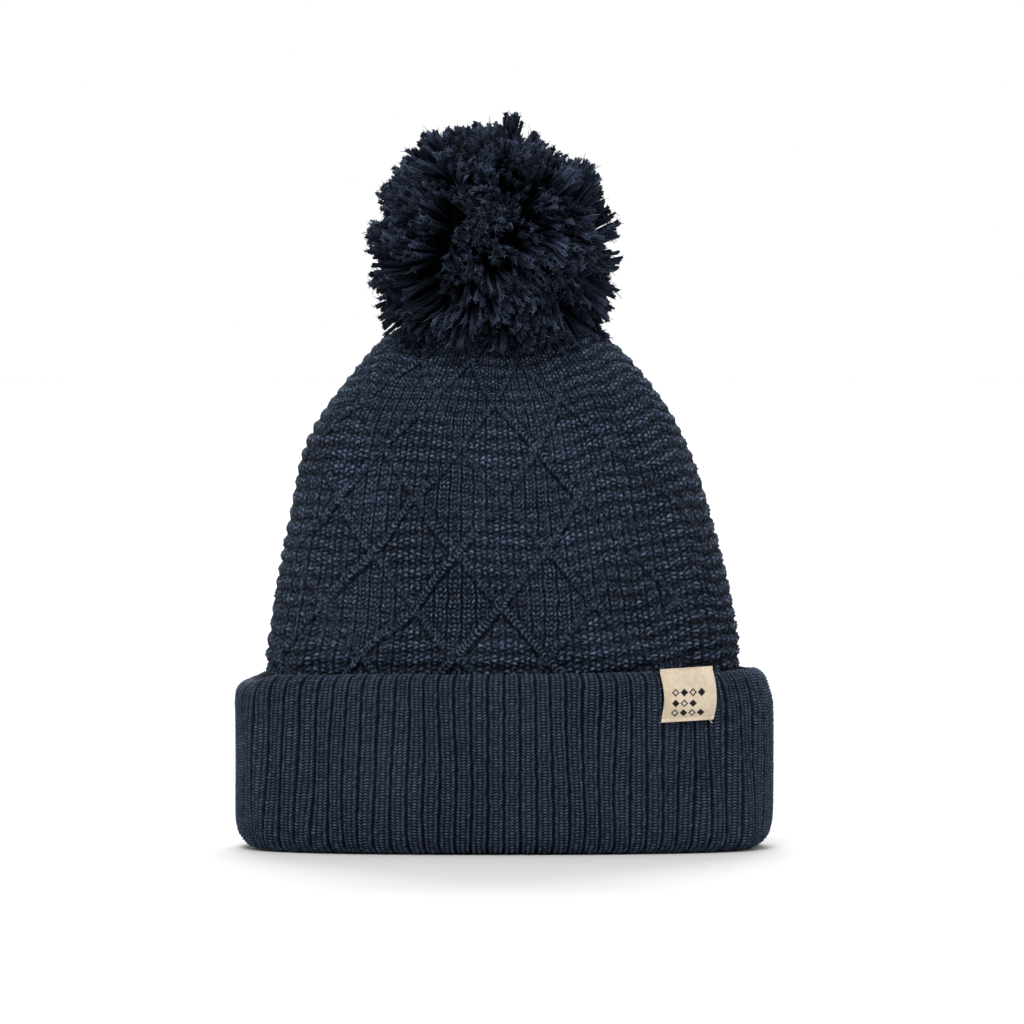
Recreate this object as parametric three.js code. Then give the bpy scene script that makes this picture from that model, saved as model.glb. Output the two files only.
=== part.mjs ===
// Pom pom beanie: a textured knit crown over a turned-up ribbed band, with a yarn pom pom tied on at the top.
// It stands on the fold of its band, filled out as if on a display form.
// Millimetres. +Z is up, -Y is the front, the origin is under the middle of the hat at the band's fold.
import * as THREE from "three";

// Across the hat
const SEGMENTS = 48; // facets around every large ring
const SQUARENESS = 2.6; // superellipse power of the hat's plan: 2 is an ellipse, larger has flatter sides
const BAND_INSET = 49; // the band's half depth is its half width less this
const LEAN = -4.4; // the soft crown leans this far sideways by the time it reaches its top

// Crown
const CROWN_WALL = 3.6;
const CROWN_FOOT = 62.3; // where the textured crown is linked to the ribbed band
const CROWN_TOP = 226;
const GATHER_HOLE = 5.2; // half width of the hole left where the crown is gathered

// Ribbed band, folded up once
const BAND_INNER_TOP = 62;
const FOLD_FLAT = [105, 108.6]; // the part of the fold that rests on the table
const CUFF_HALF_WIDTH = 113;
const CUFF_TOP = 74.4;

// Pom pom and what ties it on
const POM_CENTRE = 256;
const POM_RADIUS = 52;
const POM_BORE = 6.3; // hollow where the strands are cinched around the tie
const TIE_PIVOT = 214; // height of the knot under the crown, about which the pom pom rocks
const CORD_RADIUS = 1.3;
const KNOT_RADIUS = 6.4;

// Labels
const LABEL_TURN = [-60.9, -43.6]; // degrees around the plan, from +X
const LABEL_THICK = 0.7;
const CARE_X = [-30, -6];
const CARE_TOP = 58;
const CARE_DROP = 36;
const CARE_Y = 46.2;
const THREAD = 0.5;
const GAP = 0.3;

const NAVY_KNIT = 0x242b39;
const NAVY_RIB = 0x252c3a;
const NAVY_SEAM = 0x1e2532;
const NAVY_POM = 0x151b29;
const CREAM_WOVEN = 0xdacab4;
const CREAM_THREAD = 0xe6dccb;
const WHITE_SATIN = 0xe4e3df;

function material(color, roughness) {
  return new THREE.MeshStandardMaterial({ color, roughness, metalness: 0 });
}

function named(name, geometry, surface) {
  const mesh = new THREE.Mesh(geometry, surface);
  mesh.name = name;
  return mesh;
}

function signedPower(value, power) {
  return Math.sign(value) * Math.abs(value) ** power;
}

// A point of the hat's plan: half width, half depth, and how far around from +X in radians
function planPoint(wide, deep, turn, squareness = SQUARENESS) {
  const power = 2 / squareness;
  return [wide * signedPower(Math.cos(turn), power), deep * signedPower(Math.sin(turn), power)];
}

function leanAt(z) {
  const rise = THREE.MathUtils.clamp((z - CUFF_TOP) / (CROWN_TOP - CUFF_TOP), 0, 1);
  return LEAN * rise ** 1.4;
}

// A closed section swept round the hat's plan; each section point is [half width, half depth, z, squareness]
function ovalLathe(section) {
  const points = section.map(([wide, , z]) => new THREE.Vector2(wide, z));
  const geometry = new THREE.LatheGeometry(points, SEGMENTS);
  const position = geometry.attributes.position;
  for (let i = 0; i < position.count; i += 1) {
    const [wide, deep, z, squareness] = section[i % section.length];
    const turn = (2 * Math.PI * Math.floor(i / section.length)) / SEGMENTS;
    const [x, y] = planPoint(wide, deep, turn, squareness);
    position.setXYZ(i, x + leanAt(z), y, z);
  }
  geometry.computeVertexNormals();
  return geometry;
}

// A thin strip seen edge-on: the outline of a path given a thickness
function stripShape(path, thickness) {
  const left = [];
  const right = [];
  path.forEach(([u, v], i) => {
    const before = path[Math.max(i - 1, 0)];
    const after = path[Math.min(i + 1, path.length - 1)];
    const along = new THREE.Vector2(after[0] - before[0], after[1] - before[1]).normalize();
    left.push(new THREE.Vector2(u - (along.y * thickness) / 2, v + (along.x * thickness) / 2));
    right.unshift(new THREE.Vector2(u + (along.y * thickness) / 2, v - (along.x * thickness) / 2));
  });
  return new THREE.Shape([...left, ...right]);
}

// A strip whose edge-on outline lies in (half width of the band, z), wrapped around part of the band.
// The wrap runs clockwise seen from above, which keeps its faces outward.
function wrapOnBand(shape, [to, from]) {
  const geometry = new THREE.ExtrudeGeometry(shape, { depth: 1, steps: 6, bevelEnabled: false });
  const position = geometry.attributes.position;
  for (let i = 0; i < position.count; i += 1) {
    const wide = position.getX(i);
    const z = position.getY(i);
    const turn = THREE.MathUtils.degToRad(THREE.MathUtils.lerp(from, to, position.getZ(i)));
    const [x, y] = planPoint(wide, wide - BAND_INSET, turn);
    position.setXYZ(i, x, y, z);
  }
  geometry.computeVertexNormals();
  return geometry;
}

// A strip whose edge-on outline lies in (y, z), extruded along X
function extrudeAlongX(shape, [from, to]) {
  const geometry = new THREE.ExtrudeGeometry(shape, { depth: to - from, steps: 1, bevelEnabled: false });
  const turn = new THREE.Matrix4().makeBasis(
    new THREE.Vector3(0, 1, 0),
    new THREE.Vector3(0, 0, 1),
    new THREE.Vector3(1, 0, 0),
  );
  geometry.applyMatrix4(turn);
  geometry.translate(from, 0, 0);
  return geometry;
}

// A solid turned about Z from a section of [radius, z] points
function turned(section, segments = 24) {
  const points = section.map(([radius, z]) => new THREE.Vector2(radius, z));
  const geometry = new THREE.LatheGeometry(points, segments);
  geometry.rotateX(Math.PI / 2);
  return geometry;
}

// A closed ring of round yarn as a section of [radius, z] points
function yarnSection(radius, z, thick, sides = 8) {
  const section = [];
  for (let i = 0; i <= sides; i += 1) {
    const angle = (2 * Math.PI * i) / sides;
    section.push([radius + thick * Math.cos(angle), z + thick * Math.sin(angle)]);
  }
  return section;
}

// The crown's outside from its foot to the gathered hole
function crownOutside() {
  const guide = new THREE.CatmullRomCurve3([
    new THREE.Vector3(100.4, 51.4, CROWN_FOOT),
    new THREE.Vector3(99.6, 52.8, 78),
    new THREE.Vector3(95.6, 56.2, 105),
    new THREE.Vector3(89.9, 57.2, 134),
    new THREE.Vector3(81.5, 53.6, 165),
    new THREE.Vector3(69.3, 45.5, 189),
    new THREE.Vector3(47, 31.5, 214),
    new THREE.Vector3(24, 17.5, 223.5),
    new THREE.Vector3(GATHER_HOLE, GATHER_HOLE, CROWN_TOP),
  ]);
  return guide.getPoints(14);
}

function crownInside(outside) {
  return outside.map((point, i) => {
    const before = outside[Math.max(i - 1, 0)];
    const after = outside[Math.min(i + 1, outside.length - 1)];
    const along = new THREE.Vector2(after.x - before.x, after.z - before.z).normalize();
    const sideways = i === outside.length - 1 ? 0 : along.y * CROWN_WALL;
    const down = i === 0 ? 0 : -along.x * CROWN_WALL;
    return new THREE.Vector3(point.x - sideways, point.y - sideways, point.z - down);
  });
}

function knitCrown() {
  const outside = crownOutside();
  const inside = crownInside(outside).reverse();
  const ring = [...outside, ...inside, outside[0]];
  const section = ring.map((point) => {
    const height = THREE.MathUtils.clamp((point.z - 180) / (CROWN_TOP - 180), 0, 1);
    return [point.x, point.y, point.z, THREE.MathUtils.lerp(SQUARENESS, 2, height)];
  });
  return named("knit_crown", ovalLathe(section), material(NAVY_KNIT, 0.95));
}

// The band's section: inner leg, fold, outer leg turned up as the cuff
function ribbedBand() {
  const section = [
    [97, BAND_INNER_TOP],
    [99.4, 40],
    [100.9, 20],
    [101.4, 8],
    [102.6, 2.6],
    [FOLD_FLAT[0], 0],
    [FOLD_FLAT[1], 0],
    [111.4, 1.9],
    [112.7, 5.2],
    [CUFF_HALF_WIDTH, 10],
    [CUFF_HALF_WIDTH, 34],
    [CUFF_HALF_WIDTH, 56],
    [112, 65],
    [109.6, 71],
    [106.6, CUFF_TOP],
    [104.4, 73.2],
    [106.4, 68.2],
    [108.4, 62.5],
    [109.4, 54],
    [109.6, 30],
    [109.4, 9],
    [108.6, 5.4],
    [107.1, 3.8],
    [105.6, 5.4],
    [104.8, 9],
    [104.4, 20],
    [103, 40],
    [100.4, BAND_INNER_TOP],
    [97, BAND_INNER_TOP],
  ];
  const oval = section.map(([wide, z]) => [wide, wide - BAND_INSET, z, SQUARENESS]);
  return named("ribbed_band", ovalLathe(oval), material(NAVY_RIB, 0.95));
}

// Chain of yarn on the inside that links the crown to the band
function linkingChain() {
  const yarn = 0.8;
  const wide = 97 - GAP - yarn;
  const oval = yarnSection(wide, BAND_INNER_TOP, yarn, 6).map(([w, z]) => [w, w - BAND_INSET, z, SQUARENESS]);
  return named("band_linking_chain", ovalLathe(oval), material(NAVY_SEAM, 0.95));
}

// Seam allowance up the middle of the back, inside the crown
function crownBackSeam() {
  const thick = 2.2;
  const path = crownInside(crownOutside())
    .filter((point) => point.z > CROWN_FOOT + 2 && point.z < 208)
    .map((point) => [point.y - GAP - thick / 2 - 0.3, point.z]);
  const seam = extrudeAlongX(stripShape(path, thick), [-2.6, 2.6]);
  const position = seam.attributes.position;
  for (let i = 0; i < position.count; i += 1) {
    position.setX(i, position.getX(i) + leanAt(position.getZ(i)));
  }
  return named("crown_back_seam", seam, material(NAVY_SEAM, 0.95));
}

// The same seam's lower part, inside the band
function bandBackSeam() {
  const thick = 2.2;
  const inset = BAND_INSET + GAP + thick / 2;
  const path = [
    [97.2 - inset, 59.8],
    [99.4 - inset, 40],
    [100.9 - inset, 20],
    [101.3 - inset, 10],
  ];
  return named("band_back_seam", extrudeAlongX(stripShape(path, thick), [-2.6, 2.6]), material(NAVY_SEAM, 0.95));
}

// Drawn-up yarn that closes the crown
function gatherYarn() {
  const ring = turned(yarnSection(7, 220.5, 0.9, 6));
  ring.translate(LEAN, 0, 0);
  return named("crown_gather_yarn", ring, material(NAVY_SEAM, 0.95));
}

function tieKnot() {
  const knot = new THREE.SphereGeometry(KNOT_RADIUS, 16, 10);
  knot.rotateX(Math.PI / 2);
  knot.scale(1, 1, 0.6);
  knot.translate(LEAN, 0, TIE_PIVOT);
  return named("pom_tie_knot", knot, material(NAVY_POM, 0.95));
}

function tieCord() {
  const foot = TIE_PIVOT + 0.6 * KNOT_RADIUS + GAP;
  const head = POM_CENTRE + 3.5;
  const cord = new THREE.CylinderGeometry(CORD_RADIUS, CORD_RADIUS, head - foot, 12);
  cord.rotateX(Math.PI / 2);
  cord.translate(LEAN, 0, (head + foot) / 2);
  return named("pom_tie_cord", cord, material(NAVY_POM, 0.95));
}

// Yarn wound round the middle of the strands
function waistTie() {
  const yarn = 1.2;
  const ring = turned(yarnSection(CORD_RADIUS + GAP + yarn + 0.4, POM_CENTRE, yarn, 8), 20);
  ring.translate(LEAN, 0, 0);
  return named("pom_waist_tie", ring, material(NAVY_POM, 0.95));
}

// The pile of cut strands, clear of the crown at every tilt
function pomPile() {
  const section = [
    [0, POM_CENTRE + 4.5],
    [POM_BORE, POM_CENTRE + 4.5],
    [POM_BORE, 229.4],
    [18, 229.4],
    [32, 228.5],
    [42, 227.6],
    [46.4, 231],
  ];
  const steps = 10;
  const lowest = -0.38;
  for (let i = 0; i < steps; i += 1) {
    const angle = THREE.MathUtils.lerp(lowest, Math.PI / 2, i / steps);
    section.push([POM_RADIUS * Math.cos(angle), POM_CENTRE + POM_RADIUS * Math.sin(angle)]);
  }
  section.push([0, POM_CENTRE + POM_RADIUS]);
  const pile = turned(section, 32);
  pile.translate(LEAN, 0, 0);
  return named("pom_pile", pile, material(NAVY_POM, 1));
}

// Woven label folded over the cuff's top edge
function wovenLabel() {
  const path = [
    [114, 52.6],
    [113.9, 57],
    [113.2, 64.7],
    [110.7, 71.5],
    [107, 75.5],
    [103.4, 74.8],
    [104, 70.4],
    [106.2, 65],
  ];
  const label = wrapOnBand(stripShape(path, LABEL_THICK), LABEL_TURN);
  return named("woven_label", label, material(CREAM_WOVEN, 0.85));
}

// A run of thread, square in section, across the label at one height
function labelThread(name, wide, z) {
  const shape = new THREE.Shape([
    new THREE.Vector2(wide, z),
    new THREE.Vector2(wide + THREAD, z),
    new THREE.Vector2(wide + THREAD, z + THREAD),
    new THREE.Vector2(wide, z + THREAD),
  ]);
  const [from, to] = LABEL_TURN;
  return named(name, wrapOnBand(shape, [from + 1, to - 1]), material(CREAM_THREAD, 0.8));
}

// Satin care label: a loop of ribbon hanging from its sewn top edge
function careLabel() {
  const loop = 1.1;
  const bottom = CARE_TOP - CARE_DROP;
  const path = [
    [CARE_Y + 0.35, CARE_TOP],
    [CARE_Y + loop / 2, CARE_TOP - 6],
    [CARE_Y + loop / 2, bottom + 1],
    [CARE_Y, bottom + 0.2],
    [CARE_Y - loop / 2, bottom + 1],
    [CARE_Y - loop / 2, CARE_TOP - 6],
    [CARE_Y - 0.35, CARE_TOP],
  ];
  const label = extrudeAlongX(stripShape(path, 0.4), CARE_X);
  return named("care_label", label, material(WHITE_SATIN, 0.5));
}

function careLabelStitch() {
  const y = CARE_Y - 0.75 - THREAD / 2 - 0.15;
  const path = [
    [y, CARE_TOP - 2.2],
    [y, CARE_TOP - 1.7],
  ];
  const thread = extrudeAlongX(stripShape(path, THREAD), [CARE_X[0] + 1.5, CARE_X[1] - 1.5]);
  return named("care_label_stitch", thread, material(CREAM_THREAD, 0.8));
}

const hat = new THREE.Group();
hat.add(
  knitCrown(),
  ribbedBand(),
  linkingChain(),
  crownBackSeam(),
  bandBackSeam(),
  gatherYarn(),
  wovenLabel(),
  labelThread("label_front_stitch", 114.65, 54),
  labelThread("label_back_stitch", 104.3, 66.4),
  careLabel(),
  careLabelStitch(),
  tieKnot(),
  tieCord(),
  waistTie(),
  pomPile(),
);

export default hat;
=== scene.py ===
"""Looks of the pom pom beanie: knitted crown, ribbed turned-up band, yarn pom pom, woven label and seams.

Shapes are worked out in millimetres with numpy and written to meshes in metres. The hat's front is -Y.
"""

import math

import bpy
import numpy as np
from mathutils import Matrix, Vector


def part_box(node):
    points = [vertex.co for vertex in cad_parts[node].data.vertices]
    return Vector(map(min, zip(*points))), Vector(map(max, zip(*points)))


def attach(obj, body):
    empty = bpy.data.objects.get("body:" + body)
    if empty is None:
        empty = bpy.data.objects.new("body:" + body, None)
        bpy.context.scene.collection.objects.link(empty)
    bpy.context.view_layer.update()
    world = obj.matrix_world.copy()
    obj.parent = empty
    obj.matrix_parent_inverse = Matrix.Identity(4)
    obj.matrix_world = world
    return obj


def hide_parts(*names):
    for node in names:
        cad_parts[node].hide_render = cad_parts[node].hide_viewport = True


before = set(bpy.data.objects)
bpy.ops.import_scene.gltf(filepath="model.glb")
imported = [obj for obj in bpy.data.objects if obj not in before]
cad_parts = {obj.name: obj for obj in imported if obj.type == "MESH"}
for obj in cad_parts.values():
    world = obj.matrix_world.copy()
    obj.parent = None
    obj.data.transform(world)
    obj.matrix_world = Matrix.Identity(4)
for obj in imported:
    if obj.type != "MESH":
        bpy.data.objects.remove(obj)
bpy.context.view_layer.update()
MM = 0.001


def cad_box(node):
    """Lowest and highest corner of a CAD node in millimetres."""
    low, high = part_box(node)
    return np.array(low) / MM, np.array(high) / MM


_, BAND_HIGH = cad_box("ribbed_band")
CROWN_LOW, CROWN_HIGH = cad_box("knit_crown")
PILE_LOW, PILE_HIGH = cad_box("pom_pile")
KNOT_LOW, KNOT_HIGH = cad_box("pom_tie_knot")
CORD_LOW, CORD_HIGH = cad_box("pom_tie_cord")
CARE_LOW, CARE_HIGH = cad_box("care_label")
GATHER_LOW, GATHER_HIGH = cad_box("crown_gather_yarn")
CHAIN_LOW, CHAIN_HIGH = cad_box("band_linking_chain")
WAIST_LOW, WAIST_HIGH = cad_box("pom_waist_tie")

HALF_WIDTH = BAND_HIGH[0]
HALF_DEPTH = BAND_HIGH[1]
BAND_INSET = HALF_WIDTH - HALF_DEPTH
CUFF_TOP = BAND_HIGH[2]
CROWN_FOOT = CROWN_LOW[2]
CROWN_TOP = CROWN_HIGH[2]
LEAN = (PILE_LOW[0] + PILE_HIGH[0]) / 2
POM_RADIUS = (PILE_HIGH[0] - PILE_LOW[0]) / 2
POM_CENTRE = np.array([LEAN, 0.0, PILE_HIGH[2] - POM_RADIUS])

SQUARENESS = 2.6
COLUMNS = 80  # knit columns around the hat, each of two wales
DIAMONDS = 12  # lattice diamonds around the crown
STRETCH = 1.3  # how much wider a column may lie on the surface near the sides
RIB_COURSE = 1.24
CROWN_COURSE = 2.05
DIAMOND_HEIGHT = 45.0
LATTICE_FOOT = 81.5  # height of the lowest row of crossings


# ---------------- shapes


TURN = 2 * math.pi
OBLIQUE = np.array([0.31, 0.74, 0.6])  # a direction to build frames across strands from


def signed_power(value, power):
    return np.sign(value) * np.abs(value) ** power


def plan_point(wide, deep, turn, squareness):
    """A point of the hat's rounded oblong plan."""
    power = 2 / squareness
    return wide * signed_power(np.cos(turn), power), deep * signed_power(np.sin(turn), power)


def lean_at(z):
    """How far the crown leans sideways at a height."""
    return LEAN * np.clip((z - CUFF_TOP) / (CROWN_TOP - CUFF_TOP), 0, 1) ** 1.4


def column_turns(samples):
    """Angles at which evenly spaced columns cross the plan, the first at the middle of the front."""
    turn = np.linspace(-math.pi / 2, 1.5 * math.pi, 40001)
    x, y = plan_point(HALF_WIDTH, HALF_DEPTH, turn, SQUARENESS)
    along = np.hypot(np.diff(x), np.diff(y))
    across = np.abs(np.diff(x))
    measure = np.concatenate([[0], np.cumsum(np.maximum(across, along / STRETCH))])
    wanted = np.arange(samples) / samples * measure[-1]
    return np.interp(wanted, measure, turn)


def run_along(points):
    """How far along a path each of its points lies."""
    return np.concatenate([[0], np.cumsum(np.linalg.norm(np.diff(points, axis=0), axis=1))])


def at_run(points, run, at):
    """A path's values at given distances along it."""
    return np.stack([np.interp(at, run, points[:, k]) for k in range(points.shape[1])], axis=1)


def dense_path(points, loop=False):
    """Centripetal Catmull-Rom curve through rows of values, and how far along it each of its rows lies."""
    points = np.array(points, float)
    if loop:
        before, after = points[-2:-1], points[1:2]
    else:
        before, after = 2 * points[:1] - points[1:2], 2 * points[-1:] - points[-2:-1]
    guide = np.concatenate([before, points, after])
    knots = np.maximum(np.linalg.norm(np.diff(guide[:, :2], axis=0), axis=1) ** 0.5, 1e-4)
    pieces = []
    for k, (a, b, c, d) in enumerate(zip(guide[:-3], guide[1:-2], guide[2:-1], guide[3:])):
        t1, t2, t3 = np.cumsum(knots[k : k + 3])
        t = np.linspace(t1, t2, 60)[:-1, None]
        ab = a + (b - a) * (t / t1)
        bc = b + (c - b) * ((t - t1) / (t2 - t1))
        cd = c + (d - c) * ((t - t2) / (t3 - t2))
        abc = ab + (bc - ab) * (t / t2)
        bcd = bc + (cd - bc) * ((t - t1) / (t3 - t1))
        pieces.append(abc + (bcd - abc) * ((t - t1) / (t2 - t1)))
    pieces.append(points[-1:])
    path = np.concatenate(pieces)
    return path, run_along(path[:, :2])


def pick_rows(path, run, step, loop=True):
    """Rows of a path spaced by step, which may change along it. A loop leaves out its last row."""
    step = np.broadcast_to(step, run.shape)
    count = np.concatenate([[0], np.cumsum(np.diff(run) / ((step[1:] + step[:-1]) / 2))])
    rows = int(round(count[-1]))
    wanted = np.linspace(0, count[-1], rows + 1)[: rows if loop else rows + 1]
    at = np.interp(wanted, count, run)
    return at_run(path, run, at), at


def waves(turn, height, seed, count, most_turns, wavelength):
    """Smooth unevenness that meets itself around the hat, about -1 to 1."""
    rng = np.random.default_rng(seed)
    total = 0
    for _ in range(count):
        around = rng.integers(0, most_turns + 1)
        up = rng.uniform(-1, 1) * TURN / wavelength
        total = total + np.cos(around * turn + up * height + rng.uniform(0, TURN))
    return total / math.sqrt(count)


def smoothstep(low, high, value):
    t = np.clip((value - low) / (high - low), 0, 1)
    return t * t * (3 - 2 * t)


def bell(value, middle, width):
    """1 in the middle, fading to 0 on both sides."""
    return np.exp(-(((value - middle) / width) ** 2))


def unit(vectors):
    return vectors / np.maximum(np.linalg.norm(vectors, axis=-1, keepdims=True), 1e-9)


def surface_normals(points):
    """Outward normals of a grid that closes on itself both ways."""
    around = np.roll(points, -1, 1) - np.roll(points, 1, 1)
    along = np.roll(points, -1, 0) - np.roll(points, 1, 0)
    return unit(np.cross(around, along))


def grid_faces(rows, columns, loop_rows, loop_columns):
    """Quads of a grid of vertices, which may close on itself either way."""
    r = np.arange(rows if loop_rows else rows - 1)
    c = np.arange(columns if loop_columns else columns - 1)
    r, c = np.meshgrid(r, c, indexing="ij")
    below, above = r * columns, (r + 1) % rows * columns
    right = (c + 1) % columns
    return np.stack([below + c, below + right, above + right, above + c], axis=-1).reshape(-1, 4)


def make_object(name, vertices, quads, triangles=None, attributes=None, material=None):
    """A mesh object from millimetre vertices, quads, triangles and per-vertex float attributes."""
    mesh = bpy.data.meshes.new(name)
    vertices = np.asarray(vertices, np.float32).reshape(-1, 3) * np.float32(MM)
    quads = np.asarray(quads, np.int32).reshape(-1, 4)
    triangles = np.asarray(triangles if triangles is not None else [], np.int32).reshape(-1, 3)
    corners = np.concatenate([quads.ravel(), triangles.ravel()])
    starts = np.concatenate([np.arange(len(quads)) * 4, len(quads) * 4 + np.arange(len(triangles)) * 3])
    mesh.vertices.add(len(vertices))
    mesh.vertices.foreach_set("co", vertices.ravel())
    mesh.loops.add(len(corners))
    mesh.loops.foreach_set("vertex_index", corners.astype(np.int32))
    mesh.polygons.add(len(starts))
    mesh.polygons.foreach_set("loop_start", starts.astype(np.int32))
    mesh.update(calc_edges=True)
    mesh.polygons.foreach_set("use_smooth", np.ones(len(starts), bool))
    for key, values in (attributes or {}).items():
        layer = mesh.attributes.new(key, "FLOAT", "POINT")
        layer.data.foreach_set("value", np.asarray(values, np.float32).ravel())
    mesh.validate()
    made = bpy.data.objects.new(name, mesh)
    bpy.context.scene.collection.objects.link(made)
    if material is not None:
        mesh.materials.append(material)
    return made


def place(made, body, slot, *nodes):
    """Hangs a finished piece on its CAD body, in place of the CAD nodes it stands for."""
    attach(made, body)
    if nodes:
        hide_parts(*nodes)
    return made


def fan(first, second, tips):
    """Triangles from the edges of open rings to a tip for each."""
    return np.stack(np.broadcast_arrays(first, second, tips), -1).reshape(-1, 3)


def tubes(points, radii, sides, close_root=False):
    """Vertices, quads and triangles of round strands through points[strand, step], each ending in a tip."""
    strands, steps, _ = points.shape
    tangent = np.gradient(points, axis=1)
    tangent /= np.maximum(np.linalg.norm(tangent, axis=2, keepdims=True), 1e-9)
    lowest = np.argmin(np.abs(tangent[:, 0]), axis=1)
    first = np.eye(3)[lowest]
    side = np.empty_like(points)
    for k in range(steps):
        first = first - tangent[:, k] * np.sum(first * tangent[:, k], axis=1, keepdims=True)
        first = first / np.maximum(np.linalg.norm(first, axis=1, keepdims=True), 1e-9)
        side[:, k] = first
    other = np.cross(tangent, side)
    angle = TURN * np.arange(sides) / sides
    ring = side[:, :, None] * np.cos(angle)[:, None] + other[:, :, None] * np.sin(angle)[:, None]
    body = points[:, :, None] + ring * radii[:, :, None, None]
    tip = points[:, -1] + tangent[:, -1] * radii[:, -1:] * 0.6
    vertices = np.concatenate([body.reshape(-1, 3), tip])
    base = (np.arange(strands) * steps * sides)[:, None, None]
    ring_base = base + (np.arange(steps - 1) * sides)[None, :, None]
    corner = np.arange(sides)[None, None, :]
    after = (corner + 1) % sides
    above = ring_base + sides
    quads = np.stack([ring_base + corner, ring_base + after, above + after, above + corner], -1)
    last = (steps - 1) * sides
    base, corner, after = base[:, 0], corner[0], after[0]
    tips = len(body.reshape(-1, 3)) + np.arange(strands)[:, None]
    triangles = [fan(base + last + corner, base + last + after, tips)]
    if close_root:
        root = points[:, 0] - tangent[:, 0] * radii[:, :1] * 0.6
        roots = len(vertices) + np.arange(strands)[:, None]
        vertices = np.concatenate([vertices, root])
        triangles.append(fan(base + after, base + corner, roots))
    return vertices, quads.reshape(-1, 4), np.concatenate(triangles)


def thread_object(name, lines, radius, material):
    """Short ends of thread, one for each line of points."""
    vertices, quads, triangles = tubes(lines, np.full(lines.shape[:2], radius), 6, close_root=True)
    return make_object(name, vertices, quads, triangles, material=material)


# ---------------- stitches

LEG_EDGES = (0.06, 0.315, 0.685, 0.94)  # a column's two wales show three legs: half, joined pair, half


PICK_ROWS = 191  # courses after which the random picks repeat


def stitch_picks(rows, columns, count, seed):
    """One random number per stitch."""
    table = np.random.default_rng(seed).random((PICK_ROWS, count))
    return table[rows.astype(int) % PICK_ROWS, columns.astype(int) % count]


def lobe_shape(phase, softness):
    """0 in the gap between two stitches of a wale and 1 on their crowns."""
    return (0.5 - 0.5 * np.cos(TURN * (phase - np.floor(phase)))) ** softness


def knit_relief(column, course, groove, lobe, slant, arc, gap, seed):
    """Depth below the peak of a two-wale column, how lit each point is as painted light and shade, and its
    stitch's random pick.
    """
    cell = np.floor(column)
    r = column - cell
    leg = (r > LEG_EDGES[1]).astype(int) + (r > LEG_EDGES[2])
    start = np.take(LEG_EDGES, leg)
    width = np.take(np.diff(LEG_EDGES), leg)
    u = np.clip((r - start) / width, 0, 1)
    hump = np.sin(math.pi * u)
    rise = np.where(leg == 1, arc * hump, slant * np.where(leg == 0, 1 - u, u))
    phase = course - rise
    pick = stitch_picks(np.floor(phase), 3 * cell + leg, 3 * COLUMNS, seed)
    lobes = lobe_shape(phase, 0.9)
    across = hump**0.7
    dome = np.clip(1 - np.abs(2 * r - 1) ** 5, 0, 1) ** 0.6
    height = groove * dome + lobe * across * (0.1 + 0.9 * lobes) * (0.75 + 0.4 * pick)
    # Painted light and shade: stitch crowns lit; gaps between stitches, the middle leg and the rib's sides
    # (by gap) darker.
    lit = np.where(leg == 1, 0.8, 1.0) * across * (0.08 + 0.92 * lobes) * (1 - gap + gap * dome)
    # Faint painted light on the stitches down the gutters between columns.
    lit = lit + 0.09 * (1 - dome) * lobe_shape(course + 2.2 * r, 1.0)
    return height - groove - lobe, lit, pick


def garter_relief(column, course, ridge, lobe, seed):
    """The same for rows of purl bumps that lie in ridges three courses tall."""
    wale = column * 2
    cell = np.floor(wale)
    u = wale - cell
    lean = 0.5 * (u - 0.5) * (1 - 2 * (np.floor(course) % 2))
    phase = course - 0.45 * np.sin(math.pi * u) - 0.5 * (cell % 2) + lean
    pick = stitch_picks(np.floor(phase), cell, 2 * COLUMNS, seed)
    lobes = lobe_shape(phase, 0.9)
    across = np.sin(math.pi * u) ** 0.7
    swell = (0.5 + 0.5 * np.cos(TURN * course / 3)) ** 0.6
    height = ridge * swell + lobe * across * (0.1 + 0.9 * lobes) * (0.72 + 0.42 * pick)
    # The second value is painted light and shade: bumps lit, darker between the ridges.
    return height - ridge - lobe, across * (0.08 + 0.92 * lobes) * (0.7 + 0.3 * swell), pick


# ---------------- band

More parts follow.
